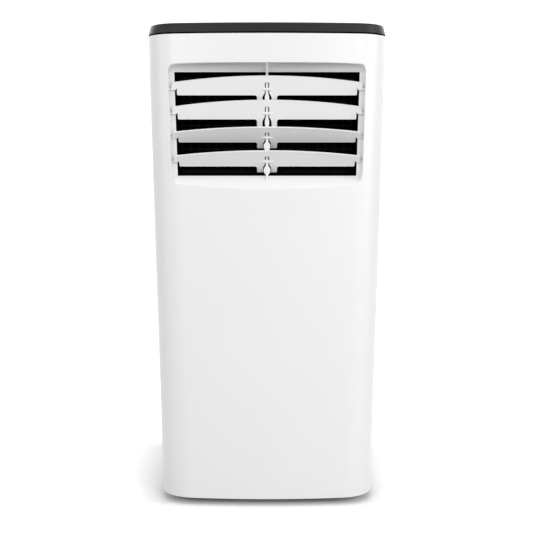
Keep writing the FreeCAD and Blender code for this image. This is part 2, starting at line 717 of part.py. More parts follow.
keep("outlet_frame", outlet_frame())
for step in range(4):
    keep(f"louvre_{step + 1}", louvre(step))
keep("outlet_guard", outlet_guard())
keep("blower_housing", blower_housing())

blower_body = new_body("x", -124, "blower_y", "blower_z")
fan_wheel(blower_body, "blower", 11, 247, 30,
          [(0, -8), ("shaft", -8), ("shaft", 0), ("blower", 0), ("blower", 2), (0, 2)],
          [(0, 246), ("blower", 246), ("blower", 248), ("shaft", 248), ("shaft", 268), (0, 268)])
keep("blower_wheel", blower_body)
keep("blower_motor", cut(rounded(rod("x", 36, (134, 156), ("blower_y", "blower_z")), 3, lambda edge: True),
                         rod("x", "shaft + 0.06", (130, 145), ("blower_y", "blower_z"))))

# --- rear grilles, exhaust and drain ----------------------------------------------------------


def grille(low, high, near, far):
    """A moulded grille: level slots either side of a middle rib."""
    plate = block(("-intake_half + gap", "intake_half - gap"), (near, far), (f"{low} + gap", f"{high} - gap"))
    count = int((number(high) - number(low) - 16) // 9)
    slots = []
    for step in range(count):
        for span in (("-intake_half + 9", -2), (2, "intake_half - 9")):
            slots.append(block(span, (f"{near} - 1", f"{far} + 1"),
                               (f"{low} + 9 + {step} * 9", f"{low} + 14 + {step} * 9")))
    return cut(plate, *slots)


def ring_frame(half, low, high, span, bar):
    return cut(block((f"-({half})", half), span, (low, high)),
               block((f"-({half}) + {bar}", f"{half} - {bar}"), (0, 140), (f"{low} + {bar}", f"{high} - {bar}")))


def exhaust_collar():
    """The collar a hose slides on, with a stepped root that stops the hose short of the casing."""
    root = rod("y", "exhaust + root_step", ("back - 6.8", "back + root_reach"), (0, "exhaust_z"))
    tube = rod("y", "exhaust", ("back", "back + exhaust_reach"), (0, "exhaust_z"))
    flange = rod("y", "exhaust + 10", ("back - 6.8", "back - 3"), (0, "exhaust_z"))
    bore = rod("y", "exhaust - 3", ("back - 8", "back + 30"), (0, "exhaust_z"))
    bars = [block((-75, 75), ("back - 1", "back + 2"), (f"exhaust_z + {z} - 1.5", f"exhaust_z + {z} + 1.5"))
            for z in range(-48, 49, 16)]
    bars += [block((f"{x} - 1.5", f"{x} + 1.5"), ("back - 1", "back + 2"), ("exhaust_z - 75", "exhaust_z + 75"))
             for x in range(-48, 49, 16)]
    guard = common(join(*bars), rod("y", "exhaust - 2", ("back - 2", "back + 3"), (0, "exhaust_z")))
    return join(cut(join(tube, root, flange), bore), guard)


def exhaust_duct():
    """The box that turns the hot air from the fan housing to the collar."""
    shell = block((-84, 84), ("scroll_front", "back - 7.2"), ("lower_high + 8", "exhaust_z + 80"))
    hollow = block((-82, 82), ("scroll_front + 2", "back - 9"), ("lower_high + 10", "exhaust_z + 78"))
    way_out = rod("y", "exhaust - 3", (100, 130), (0, "exhaust_z"))
    way_in = block(("fan_x + 2", "fan_x + scroll - 2"), ("scroll_front + 2", "scroll_back - 2"),
                   ("lower_high", "lower_high + 20"))
    return cut(shell, hollow, way_out, way_in)


keep("upper_intake_grille", grille("upper_low", "upper_high", "back - 2.5", "back"))
keep("filter_frame", ring_frame("intake_half - 3", "upper_low + 3", "upper_high - 3",
                                ("back - 9", "back - 2.9"), 7))
keep("filter_mesh", block(("-intake_half + 10.2", "intake_half - 10.2"), ("back - 6.5", "back - 5.5"),
                          ("upper_low + 10.2", "upper_high - 10.2")))
keep("lower_intake_grille", grille("lower_low", "lower_high", "back - 2.5", "back"))
keep("exhaust_collar", exhaust_collar())
keep("exhaust_duct", exhaust_duct())
keep("drain_spout", cut(join(rod("y", "spout", ("back", "back + spout_reach"), (0, "drain_z")),
                             rod("y", "spout_root", (114, "back + root_reach"), (0, "drain_z")),
                             rod("y", "spout_root + 0.7", (124, 127.5), (0, "drain_z"))),
                        rod("y", 5.5, (110, 160), (0, "drain_z"))))
keep("drain_plug", join(cone("y", (4.9, 5.1), ("back + 1", "back + 15.5"), (0, "drain_z")),
                        rounded(rod("y", "spout - 0.4", ("back + 15.3", "back + 19"), (0, "drain_z")), 1,
                                lambda edge: True)))
keep("cable_inlet", cut(join(rod("y", 8, ("back - 8", "back + 3"), CABLE),
                             rounded(rod("y", 12, ("back + 0.2", "back + 4"), CABLE), 1.2,
                                     lambda edge: edge.BoundBox.YMin > number("back") + 3.5)),
                        rod("y", 3.8, ("back - 10", "back + 10"), CABLE)))

# --- chassis --------------------------------------------------------------------------------

CASTORS = {
    "front_left": ("-castor_x", "castor_front"),
    "front_right": ("castor_x", "castor_front"),
    "rear_left": ("-castor_x", "castor_rear"),
    "rear_right": ("castor_x", "castor_rear"),
}


def base_pan():
    """The chassis: a rimmed tray above, four castor wells below."""
    fit = casing_volume("skin + gap")
    rim = cut(common(fit, block((-200, 200), (-200, 200), ("foot_gap + 2", "pan_rim"))),
              casing_volume("skin + gap + 3"))
    plate = common(fit, block((-200, 200), (-200, 200), ("pan_plate", "pan_plate + 4")))
    wells = [rod("z", "well + 2.5", ("foot_gap + 4", "pan_plate + 1"), at) for at in CASTORS.values()]
    hollows = [rod("z", "well", ("foot_gap", "pan_plate"), at) for at in CASTORS.values()]
    bosses = [rod("z", 9, ("pan_plate - 5.5", "pan_plate + 12"), at) for at in CASTORS.values()]
    seats = [rod("z", "stem + 0.06", ("pan_plate - 6", "pan_plate + 9"), at) for at in CASTORS.values()]
    drain = rod("y", "spout_root + 0.3", (110, 140), (0, "drain_z"))
    return cut(join(cut(join(rim, plate, *wells), *hollows), *bosses), *seats, drain)


def castor_fork(x, y):
    """Stem, thrust disc and the web between the two wheels."""
    stem = rod("z", "stem", ("pan_plate - 8", "pan_plate + 8"), (x, y))
    disc = rod("z", 14, ("pan_plate - 10", "pan_plate - 7"), (x, y))
    axle_y = f"{y} + trail"
    web = prism("yz", (f"{x} - 3", f"{x} + 3"), [
        (f"{y} - 7", "pan_plate - 9"), (f"{y} + 9", "pan_plate - 9"), (f"{axle_y} + 6", "wheel + 4"),
        (f"{axle_y} + 6", "wheel - 5"), (f"{axle_y} - 4", "wheel - 6"), (f"{y} - 3", "wheel + 6"),
    ])
    hole = rod("x", "2.47", (f"{x} - 5", f"{x} + 5"), (axle_y, "wheel"))
    return cut(join(stem, disc, web), hole)


def castor_wheels(x, y):
    """Twin wheels on one axle."""
    at = (f"{y} + trail", "wheel")
    pair = [rounded(rod("x", "wheel", (f"{x} + {near}", f"{x} + {far}"), at), 2, lambda edge: True)
            for near, far in ((-14, -3.8), (3.8, 14))]
    return join(rod("x", "2.4", (f"{x} - 12", f"{x} + 12"), at), *pair)


keep("base_pan", base_pan())
for corner_name, (x, y) in CASTORS.items():
    keep(f"castor_fork_{corner_name}", castor_fork(x, y))
    keep(f"castor_wheels_{corner_name}", castor_wheels(x, y))

# --- refrigeration --------------------------------------------------------------------------


def coil(half, near, far, low, high):
    """A finned coil: the fin pack, two end plates and the return bends on the right."""
    pack = block((f"-{half}", half), (near, far), (low, high))
    plates = [block(span, (f"{near} - 2", f"{far} + 2"), (f"{low} - 2", f"{high} + 2"))
              for span in ((f"-{half} - 1.5", f"-{half}"), (half, f"{half} + 1.5"))]
    rise = number(high) - number(low)
    bends = []
    for step in range(int(rise // 40)):
        bend = doc.addObject("Part::Torus", "return_bend")
        bend.Radius1 = 10
        bend.Radius2 = 3.5
        bend.Angle3 = 180
        bend.Placement = FreeCAD.Placement(Vector(), FreeCAD.Rotation(Vector(0, 0, 1), -90))
        place(bend, f"{half} + 1.4", f"({near} + {far}) / 2", f"{low} + 20 + {step} * 40")
        bends.append(bend)
    return join(pack, *plates, *bends)


def compressor():
    can = rounded(rod("z", "pump", ("pump_foot + 6", "pump_top"), ("pump_x", "pump_y")), 18,
                  lambda edge: isinstance(edge.Curve, Part.Circle))
    collar = rod("z", "pump - 10", ("pump_foot", "pump_foot + 10"), ("pump_x", "pump_y"))
    foot = rod("z", "pump + 12", ("pump_foot", "pump_foot + 3"), ("pump_x", "pump_y"))
    return join(can, collar, foot)


def compressor_feet():
    feet = []
    for turn in (30, 150, 270):
        x = f"pump_x + {48 * math.cos(math.radians(turn)):.3f}"
        y = f"pump_y + {48 * math.sin(math.radians(turn)):.3f}"
        feet.append(rod("z", 9, ("pan_plate + 4", "pump_foot"), (x, y)))
    return group(*feet)


def tube(label, radius, points):
    """A pipe through a list of points, with a round bend at each of them."""
    stops = [Vector(*(number(words) for words in point)) for point in points]
    bend = 2.5 * radius
    edges = []
    start = stops[0]
    for before, here, after in zip(stops, stops[1:], stops[2:]):
        arrive = here + (before - here).normalize() * bend
        leave = here + (after - here).normalize() * bend
        middle = here + (arrive + leave - here * 2) * (1 - math.sqrt(0.5))
        edges.append(Part.LineSegment(start, arrive).toShape())
        edges.append(Part.Arc(arrive, middle, leave).toShape())
        start = leave
    edges.append(Part.LineSegment(start, stops[-1]).toShape())
    path = Part.Wire(edges)
    ring = Part.Wire([Part.makeCircle(radius, stops[0], stops[1] - stops[0])])
    thing = doc.addObject("Part::Feature", "tube")
    thing.Shape = path.makePipeShell([ring], True, False)
    return keep(label, thing)


def drip_tray():
    """The shelf between the two halves, with an upstand under the cold coil."""
    fit = casing_volume("skin + gap")
    shelf = common(fit, block((-200, 200), (-112, 200), ("shelf", "shelf + 2.5")))
    upstand = cut(block((-134, 134), (62, 106), ("shelf", "shelf + 12")),
                  block((-131.5, 131.5), (64.5, 103.5), ("shelf + 1", "shelf + 20")))
    pipe_holes = [rod("z", 7, ("shelf - 1", "shelf + 5"), at) for at in ((-146, 82), (-141, 114))]
    return cut(join(shelf, upstand), *pipe_holes)


def fan_housing():
    """The condenser fan's housing: a drum with a mouth upwards, open towards the hot coil."""
    def drum(radius, near, far, rise):
        return join(rod("y", radius, (near, far), ("fan_x", "fan_z")),
                    block(("fan_x", f"fan_x + {radius}"), (near, far), ("fan_z", rise)))
    shell = drum("scroll", "scroll_front", "scroll_back", "lower_high + 7")
    hollow = cut(drum("scroll - 2", "scroll_front + 2", "scroll_back - 2", "lower_high + 20"),
                 block(("fan_x - 1", "fan_x + 2"), (0, 100), ("fan_z + fan + 4", "lower_high + 30")))
    inlet = rod("y", "fan - 12", (60, 100), ("fan_x", "fan_z"))
    bearing = rod("y", "shaft + 2", (20, 60), ("fan_x", "fan_z"))
    return cut(shell, hollow, inlet, bearing)


keep("condenser_coil", coil("118", 90, 112, "lower_low + 2", "lower_high - 4"))
keep("evaporator_coil", coil("120", 70, 96, "shelf + 18", "upper_high"))
keep("compressor", compressor())
keep("compressor_feet", compressor_feet())
keep("accumulator", rounded(rod("z", 16, (92, 200), (-12, "pump_y")), 8,
                            lambda edge: isinstance(edge.Curve, Part.Circle)))
tube("discharge_pipe", 4, [("pump_x", "pump_y", "pump_top"), ("pump_x", "pump_y", 262), (-134, "pump_y", 262),
                           (-134, 101, 262), (-119.5, 101, 262)])
tube("suction_pipe", 4, [(-121.5, 83, 490), (-146, 83, 490), (-146, 83, 282), (-146, -20, 282),
                         (-12, -20, 282), (-12, "pump_y", 282), (-12, "pump_y", 200)])
tube("capillary_tube", 1.5, [(-119.5, 101, 110), (-128, 101, 110), (-128, 118, 110), (-128, 118, 432),
                             (-141, 118, 432), (-141, 114, 445), (-141, 114, 580), (-134, 92, 580),
                             (-121.6, 92, 580)])
keep("drip_tray", drip_tray())
keep("condenser_fan_housing", fan_housing())
fan_body = new_body("y", "fan_x", "scroll_front + 5", "fan_z")
fan_wheel(fan_body, "fan", 13, 36, 36,
          [(0, -26), ("shaft", -26), ("shaft", 0), ("fan", 0), ("fan", 2), (14, 2), (14, 14), (0, 14)],
          [("fan - 13", 35), ("fan", 35), ("fan", 37), ("fan - 13", 37)])
keep("condenser_fan", fan_body)
keep("condenser_fan_motor", cut(rounded(rod("y", 38, (-24, "scroll_front - 2"), ("fan_x", "fan_z")), 4,
                                        lambda edge: isinstance(edge.Curve, Part.Circle)),
                                rod("y", "shaft + 0.06", (9, 40), ("fan_x", "fan_z"))))
splash_body = new_body("y", "splash_x", 58, "splash_z")
fan_wheel(splash_body, "splash", 8, 5, 12,
          [(0, -14), (2.5, -14), (2.5, 0), ("splash", 0), ("splash", 1.5), (0, 1.5)],
          [("splash - 8", 4), ("splash", 4), ("splash", 5.5), ("splash - 8", 5.5)])
keep("splash_wheel", splash_body)
keep("splash_motor", cut(rod("y", 17, (26, 55), ("splash_x", "splash_z")),
                         rod("y", 2.56, (42, 60), ("splash_x", "splash_z"))))

# --- electrics ------------------------------------------------------------------------------

BOX = ((22, 134), (-118, -22), (300, 424))
BOX_WALL = 2


def electrical_box():
    """A box for the electrics, open towards the back."""
    across, deep, high = BOX
    hollow = block((across[0] + BOX_WALL, across[1] - BOX_WALL), (deep[0] + BOX_WALL, deep[1] + 1),
                   (high[0] + BOX_WALL, high[1] - BOX_WALL))
    return cut(block(*BOX), hollow)


def electrical_cover():
    across, deep, high = BOX
    rim = BOX_WALL + 0.2
    return block((across[0] + rim, across[1] - rim), (deep[1] + 0.1, deep[1] + BOX_WALL),
                 (high[0] + rim, high[1] - rim))


def control_board():
    """The mains board, stood against the box's side, with its transformer and relays."""
    board = block((30, 34), (-112, -30), (306, 416))
    transformer = block((34, 54), (-104, -72), (330, 362))
    relays = block((34, 46), (-66, -40), (372, 400))
    return join(board, transformer, relays)


keep("electrical_box", electrical_box())
keep("electrical_cover", electrical_cover())
keep("control_board", control_board())
keep("run_capacitor", rounded(rod("z", 19, (304, 376), (100, -72)), 2,
                              lambda edge: isinstance(edge.Curve, Part.Circle)))

# --- checks and files -----------------------------------------------------------------------

doc.recompute()
for thing in doc.Objects:
    if "Invalid" in thing.State or "Error" in thing.State:
        raise RuntimeError(f"{thing.Name} ({thing.Label}) did not compute")
os.makedirs("parts", exist_ok=True)
for thing in NODES:
    if thing.Shape.isNull() or not thing.Shape.isValid():
        raise RuntimeError(f"{thing.Label} has no valid shape")
    thing.Shape.exportStep(f"parts/{thing.Label}.step")
    print(f"{thing.Label}: {len(thing.Shape.Solids)} solid(s), {thing.Shape.Volume / 1000:.1f} cm3")
print(f"{len(NODES)} nodes")
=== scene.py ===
import json
import math

import bmesh
import bpy
from mathutils import Matrix, Vector


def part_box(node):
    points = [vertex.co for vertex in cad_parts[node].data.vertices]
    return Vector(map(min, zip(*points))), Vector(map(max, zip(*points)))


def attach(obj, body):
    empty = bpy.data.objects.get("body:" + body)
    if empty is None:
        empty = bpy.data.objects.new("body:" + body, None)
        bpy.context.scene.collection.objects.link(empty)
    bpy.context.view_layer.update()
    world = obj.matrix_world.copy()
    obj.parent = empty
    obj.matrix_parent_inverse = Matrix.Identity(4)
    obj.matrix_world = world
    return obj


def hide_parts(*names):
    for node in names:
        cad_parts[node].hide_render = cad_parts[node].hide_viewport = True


# Portable air conditioner. The CAD frame gives every size and place; this script gives the looks.

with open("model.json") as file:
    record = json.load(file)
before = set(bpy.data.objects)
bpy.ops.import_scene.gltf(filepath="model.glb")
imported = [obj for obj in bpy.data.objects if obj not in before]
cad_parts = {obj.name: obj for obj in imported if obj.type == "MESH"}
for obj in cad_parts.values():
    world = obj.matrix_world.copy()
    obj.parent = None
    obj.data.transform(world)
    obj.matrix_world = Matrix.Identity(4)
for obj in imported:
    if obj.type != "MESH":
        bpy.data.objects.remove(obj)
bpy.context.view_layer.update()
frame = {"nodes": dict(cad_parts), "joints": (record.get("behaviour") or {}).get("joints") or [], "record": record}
SCENE = bpy.context.scene
MM = 0.001
UP = Vector((0, 0, 1))


# --- materials --------------------------------------------------------------------------------


def bare_material(name, colour, roughness, metallic=0.0, specular=0.5):
    """A named finish with its uniform numbers on the shader's own sockets."""
    material = bpy.data.materials.new(name)
    material.use_nodes = True
    material.diffuse_color = (*colour, 1)
    shader = material.node_tree.nodes["Principled BSDF"]
    shader.inputs["Base Color"].default_value = (*colour, 1)
    shader.inputs["Roughness"].default_value = roughness
    shader.inputs["Metallic"].default_value = metallic
    shader.inputs["Specular IOR Level"].default_value = specular
    return material, shader


def add_node(material, kind, **settings):
    """A new node in a material, with its settings."""
    node = material.node_tree.nodes.new(kind)
    for setting, value in settings.items():
        setattr(node, setting, value)
    return node


def wire(material, source, target):
    material.node_tree.links.new(source, target)


def object_place(material, stretch=(1, 1, 1)):
    """Object coordinates, stretched along each axis."""
    coordinates = add_node(material, "ShaderNodeTexCoord")
    mapping = add_node(material, "ShaderNodeMapping")
    mapping.inputs["Scale"].default_value = stretch
    wire(material, coordinates.outputs["Object"], mapping.inputs["Vector"])
    return mapping.outputs["Vector"]


def noise(material, place, scale, detail=3.0, rough=0.5):
    texture = add_node(material, "ShaderNodeTexNoise")
    texture.inputs["Scale"].default_value = scale
    texture.inputs["Detail"].default_value = detail
    texture.inputs["Roughness"].default_value = rough
    wire(material, place, texture.inputs["Vector"])
    return texture.outputs["Fac"]


def between(material, share, low, high):
    """A number that runs from low to high as a share runs from 0.3 to 0.7."""
    spread = add_node(material, "ShaderNodeMapRange")
    spread.inputs["From Min"].default_value = 0.3
    spread.inputs["From Max"].default_value = 0.7
    spread.inputs["To Min"].default_value = low
    spread.inputs["To Max"].default_value = high
    wire(material, share, spread.inputs["Value"])
    return spread.outputs["Result"]


def two_tones(material, share, dark, light, target, low=0.3, high=0.7):
    """Run from one colour to another as a share runs from low to high."""
    ramp = add_node(material, "ShaderNodeValToRGB")
    ramp.color_ramp.elements[0].position = low
    ramp.color_ramp.elements[0].color = (*dark, 1)
    ramp.color_ramp.elements[1].position = high
    ramp.color_ramp.elements[1].color = (*light, 1)
    wire(material, share, ramp.inputs["Fac"])
    wire(material, ramp.outputs["Color"], target)


def relief(material, share, shader, strength, distance):
    bump = add_node(material, "ShaderNodeBump")
    bump.inputs["Strength"].default_value = strength
    bump.inputs["Distance"].default_value = distance
    wire(material, share, bump.inputs["Height"])
    wire(material, bump.outputs["Normal"], shader.inputs["Normal"])


def scaled(colour, factor):
    return tuple(min(1.0, channel * factor) for channel in colour)


def moulded(name, colour, roughness, grain=1600, depth=0.012, drift=0.02, specular=0.5, coat=0.0):
    """Moulded plastic: a fine spark-eroded grain, a slight drift in tone and in gloss."""
    material, shader = bare_material(name, colour, roughness, specular=specular)
    place = object_place(material)
    cloud = noise(material, place, 9, detail=2)
    fine = noise(material, place, grain, detail=2)
    two_tones(material, cloud, scaled(colour, 1 - drift), scaled(colour, 1 + drift),
              shader.inputs["Base Color"])
    wire(material, between(material, fine, roughness - 0.04, roughness + 0.05), shader.inputs["Roughness"])
    relief(material, fine, shader, 0.25, depth * MM)
    shader.inputs["Coat Weight"].default_value = coat
    shader.inputs["Coat Roughness"].default_value = 0.12
    return material


# Top of the painted shade band above the shells, and how far it fades out.
PAINTED_SHADE_HEIGHT = 1.9 * MM
PAINTED_SHADE_FADE = 0.4 * MM


def painted_shadow_lip(material):
    """The lid's lower lip and lowest band, just above the top of the shells, are painted near black and without
    gloss: painted shade that stands for the shadow gap under the lid.
    """
    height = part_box("front_shell")[1].z + PAINTED_SHADE_HEIGHT
    shader = material.node_tree.nodes["Principled BSDF"]
    colour = shader.inputs["Base Color"].links[0].from_socket
    place = add_node(material, "ShaderNodeSeparateXYZ")
    wire(material, object_place(material), place.inputs["Vector"])
    rise = add_node(material, "ShaderNodeMapRange")
    rise.inputs["From Min"].default_value = height
    rise.inputs["From Max"].default_value = height + PAINTED_SHADE_FADE
    wire(material, place.outputs["Z"], rise.inputs["Value"])
    painted_shade = add_node(material, "ShaderNodeVectorMath", operation="SCALE")
    wire(material, colour, painted_shade.inputs["Vector"])
    wire(material, rise.outputs["Result"], painted_shade.inputs["Scale"])
    wire(material, painted_shade.outputs["Vector"], shader.inputs["Base Color"])
    gloss = add_node(material, "ShaderNodeMath", operation="MULTIPLY")
    gloss.inputs[1].default_value = shader.inputs["Specular IOR Level"].default_value
    wire(material, rise.outputs["Result"], gloss.inputs[0])
    wire(material, gloss.outputs["Value"], shader.inputs["Specular IOR Level"])


def brushed_metal(name, colour, roughness, along):
    """Rolled or drawn metal, with fine streaks along one axis."""
    material, shader = bare_material(name, colour, roughness, metallic=1.0)
    streaks = noise(material, object_place(material, along), 60, detail=4)
    stains = noise(material, object_place(material), 30, detail=3)
    two_tones(material, stains, scaled(colour, 0.82), scaled(colour, 1.08), shader.inputs["Base Color"])
    wire(material, between(material, streaks, roughness - 0.08, roughness + 0.1), shader.inputs["Roughness"])
    relief(material, streaks, shader, 0.2, 0.02 * MM)
    return material


def fin_pack_with_painted_shade():
    """The face of a fin pack: hundreds of upright fins, with painted shade, near black, in the gaps between their
    edges.
    """
    colour = (0.72, 0.74, 0.76)
    material, shader = bare_material("fin_pack_with_painted_shade", colour, 0.42, metallic=1.0)
    waves = add_node(material, "ShaderNodeTexWave", wave_type="BANDS", bands_direction="X")
    waves.inputs["Scale"].default_value = 140
    waves.inputs["Distortion"].default_value = 0.25
    wire(material, object_place(material), waves.inputs["Vector"])
    # Painted shade: near black between the fins' edges.
    two_tones(material, waves.outputs["Fac"], (0.05, 0.055, 0.06), colour,
              shader.inputs["Base Color"], 0.2, 0.6)
    relief(material, waves.outputs["Fac"], shader, 0.8, 0.4 * MM)
    return material


def filter_cloth():
    """Woven filter threads: pale grey, matt, each thread a little rough."""
    material, shader = bare_material("filter_threads", (0.16, 0.17, 0.18), 0.75, specular=0.3)
    fuzz = noise(material, object_place(material), 2600, detail=3)
    two_tones(material, fuzz, (0.12, 0.13, 0.14), (0.22, 0.23, 0.24), shader.inputs["Base Color"])
    relief(material, fuzz, shader, 0.4, 0.03 * MM)
    shader.inputs["Sheen Weight"].default_value = 0.2
    return material


def smoked_window():
    """Smoked acrylic over the digits."""
    material, shader = bare_material("smoked_acrylic", (0.012, 0.014, 0.016), 0.08)
    haze = noise(material, object_place(material), 500, detail=2)
    wire(material, between(material, haze, 0.05, 0.1), shader.inputs["Roughness"])
    shader.inputs["Coat Weight"].default_value = 0.6
    shader.inputs["Coat Roughness"].default_value = 0.04
    return material


def lit_digits():
    """The display's segments, softly lit."""
    material, shader = bare_material("lit_segments", (0.55, 0.85, 0.9), 0.5)
    cloud = noise(material, object_place(material), 400, detail=1)
    two_tones(material, cloud, (0.45, 0.78, 0.84), (0.62, 0.9, 0.95), shader.inputs["Base Color"])
    shader.inputs["Emission Color"].default_value = (0.5, 0.85, 0.92, 1)
    shader.inputs["Emission Strength"].default_value = 0.25
    return material


def board_lacquer():
    """Green circuit board, with tracks under the lacquer."""
    material, shader = bare_material("board_lacquer", (0.02, 0.16, 0.07), 0.35)
    tracks = add_node(material, "ShaderNodeTexVoronoi", distance="MANHATTAN")
    tracks.inputs["Scale"].default_value = 260
    wire(material, object_place(material), tracks.inputs["Vector"])
    two_tones(material, tracks.outputs["Distance"], (0.03, 0.24, 0.1), (0.015, 0.12, 0.05),
              shader.inputs["Base Color"], 0.2, 0.5)
    shader.inputs["Coat Weight"].default_value = 0.3
    return material


def pale_stage(name, emission):
    """A matt, nearly white sheet with a soft glow."""
    material, shader = bare_material(name, (0.93, 0.93, 0.93), 0.6, specular=0.1)
    cloud = noise(material, object_place(material), 0.4, detail=1)
    two_tones(material, cloud, (0.925, 0.925, 0.925), (0.935, 0.935, 0.935), shader.inputs["Base Color"])
    shader.inputs["Emission Color"].default_value = (1, 1, 1, 1)
    shader.inputs["Emission Strength"].default_value = emission
    return material, shader


# The base's footprint, and how far the painted shadow round it reaches.
FOOTPRINT = (0.145, 0.135, 0)
PAINTED_SHADOW_REACH = 0.12
FLOOR_GLOW = 0.62
WALL_GLOW = 0.75


def painted_contact_shadow(material, shader):
    """Painted shadow: the floor's glow is taken away close to the base, so the floor is darker there than its
    lighting makes it, deepening the contact shadow.
    """
    place = object_place(material)
    for operation, numbers in (("ABSOLUTE", (0, 0, 0)), ("SUBTRACT", FOOTPRINT), ("MAXIMUM", (0, 0, 0))):
        step = add_node(material, "ShaderNodeVectorMath", operation=operation)
        wire(material, place, step.inputs[0])
        step.inputs[1].default_value = numbers
        place = step.outputs["Vector"]
    distance = add_node(material, "ShaderNodeVectorMath", operation="LENGTH")
    wire(material, place, distance.inputs[0])
    spread = add_node(material, "ShaderNodeMapRange")
    spread.inputs["From Max"].default_value = PAINTED_SHADOW_REACH
    spread.inputs["To Max"].default_value = FLOOR_GLOW
    wire(material, distance.outputs["Value"], spread.inputs["Value"])
    wire(material, spread.outputs["Result"], shader.inputs["Emission Strength"])


FINISH = {
    "white_shell": moulded("satin_white_abs", (0.80, 0.80, 0.795), 0.38, drift=0.006),
    "white_louvre": moulded("satin_white_louvre", (0.80, 0.80, 0.795), 0.34, drift=0.006),
    "black_lid": moulded("charcoal_lid", (0.013, 0.013, 0.014), 0.4, grain=1100, depth=0.02, drift=0.1,
                         specular=0.35),
    "gloss_black": moulded("gloss_black_panel", (0.006, 0.006, 0.007), 0.12, depth=0.003, drift=0.1,
                           coat=0.5),
    "smoked_window": smoked_window(),
    "button_grey": moulded("button_grey", (0.045, 0.047, 0.05), 0.34, depth=0.01, drift=0.05),
    "duct_black": moulded("matt_black_duct", (0.0035, 0.0035, 0.0035), 0.7, drift=0.1, specular=0.06),
    "filter_grey": moulded("grille_grey", (0.24, 0.25, 0.26), 0.42, drift=0.03),
    "filter_cloth": filter_cloth(),
    "pan_grey": moulded("pan_grey", (0.2, 0.205, 0.21), 0.5, drift=0.04),
    "castor_black": moulded("castor_black", (0.02, 0.02, 0.021), 0.4, grain=900, depth=0.02, drift=0.1),
    "rubber_black": moulded("rubber_black", (0.018, 0.018, 0.018), 0.75, grain=700, depth=0.03, drift=0.1,
                            specular=0.3),
    "screw_steel": brushed_metal("zinc_screws", (0.62, 0.62, 0.6), 0.32, (1, 1, 8)),
    "compressor_black": moulded("stoved_black", (0.02, 0.02, 0.022), 0.28, grain=420, depth=0.03,
                                drift=0.15),
    "motor_steel": brushed_metal("motor_steel", (0.55, 0.56, 0.57), 0.36, (12, 1, 1)),
    "coil_aluminium": fin_pack_with_painted_shade(),
    "copper_pipe": brushed_metal("copper_pipe", (0.83, 0.42, 0.26), 0.26, (1, 1, 6)),
    "board_green": board_lacquer(),
    "box_grey": moulded("galvanised_grey", (0.3, 0.31, 0.32), 0.45, grain=500, drift=0.06),
}
# Painted shade: the lid's lowest band is darkened to stand for the shadow gap under it.
painted_shadow_lip(FINISH["black_lid"])
FIN_EDGE = brushed_metal("fin_edge", (0.78, 0.8, 0.82), 0.34, (1, 1, 10))
PRINT = moulded("pale_print", (0.62, 0.63, 0.64), 0.5, drift=0.01)
LIT = lit_digits()


def paint_cad_nodes():
    """Every CAD node takes the finish of its slot."""
    for part in frame["record"]["subparts"]:
        mesh = frame["nodes"][part["node"]].data
        mesh.materials.clear()
        mesh.materials.append(FINISH[part["material_slot"]])


# --- mesh helpers -----------------------------------------------------------------------------


def new_piece(name, work, material, body, crease=35, nodes=(), weighted=False):
    """Turn a worked mesh into a finished piece that rides on a body."""
    for face in work.faces:
        face.smooth = True
    for edge in work.edges:
        edge.smooth = len(edge.link_faces) == 2 and edge.calc_face_angle(0) < math.radians(crease)
    mesh = bpy.data.meshes.new(name)
    work.to_mesh(mesh)
    work.free()
    mesh.materials.append(material)
    piece = bpy.data.objects.new(name, mesh)
    SCENE.collection.objects.link(piece)
    if weighted:
        normals = piece.modifiers.new("face_normals", "WEIGHTED_NORMAL")
        normals.keep_sharp = True
    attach(piece, body)
    if nodes:
        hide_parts(*nodes)
    return piece


SAME_PLACE = 0.002 * MM
SAME_PLANE = 0.2


def from_node(node):
    """A CAD node's shape with its loose triangles joined and its flat faces whole."""
    work = bmesh.new()
    work.from_mesh(frame["nodes"][node].data)
    bmesh.ops.remove_doubles(work, verts=work.verts, dist=SAME_PLACE)
    bmesh.ops.dissolve_limit(work, angle_limit=math.radians(SAME_PLANE), use_dissolve_boundaries=False,
                             verts=work.verts, edges=work.edges, delimit=set())
    return work


def round_edges(work, size, chosen=lambda edge: True, steepest=40, segments=2):
    """Round the edges where two faces meet at more than a given angle."""
    sharp = math.radians(steepest)
    edges = [edge for edge in work.edges
             if len(edge.link_faces) == 2 and edge.calc_face_angle(0) > sharp and chosen(edge)]
    bmesh.ops.bevel(work, geom=edges, offset=size, offset_type="OFFSET", affect="EDGES", segments=segments,
                    profile=0.5, material=-1, clamp_overlap=False)


# --- studio -----------------------------------------------------------------------------------


def stage_plane(name, middle, size, turn, emission):
    """A large pale sheet; its glow lights nothing matt, so the lamps alone shade the object."""
    work = bmesh.new()
    bmesh.ops.create_grid(work, x_segments=2, y_segments=2, size=0.5,
                          matrix=Matrix.Translation(middle) @ Matrix.Rotation(math.radians(turn), 4, "X")
                          @ Matrix.Diagonal((*size, 1, 1)))
    mesh = bpy.data.meshes.new(name)
    work.to_mesh(mesh)
    work.free()
    material, shader = pale_stage(name, emission)
    mesh.materials.append(material)
    sheet = bpy.data.objects.new(name, mesh)
    sheet.visible_diffuse = False
    SCENE.collection.objects.link(sheet)
    return material, shader


def floor_and_wall():
    """A pale floor, and a pale wall that starts where the floor ends."""
    floor, shader = stage_plane("studio_floor", (0, -1, 0), (24, 12), 0, FLOOR_GLOW)
    # Painted shadow: the floor glows less close to the base.
    painted_contact_shadow(floor, shader)
    stage_plane("studio_wall", (0, 5, 4), (24, 8), 90, WALL_GLOW)


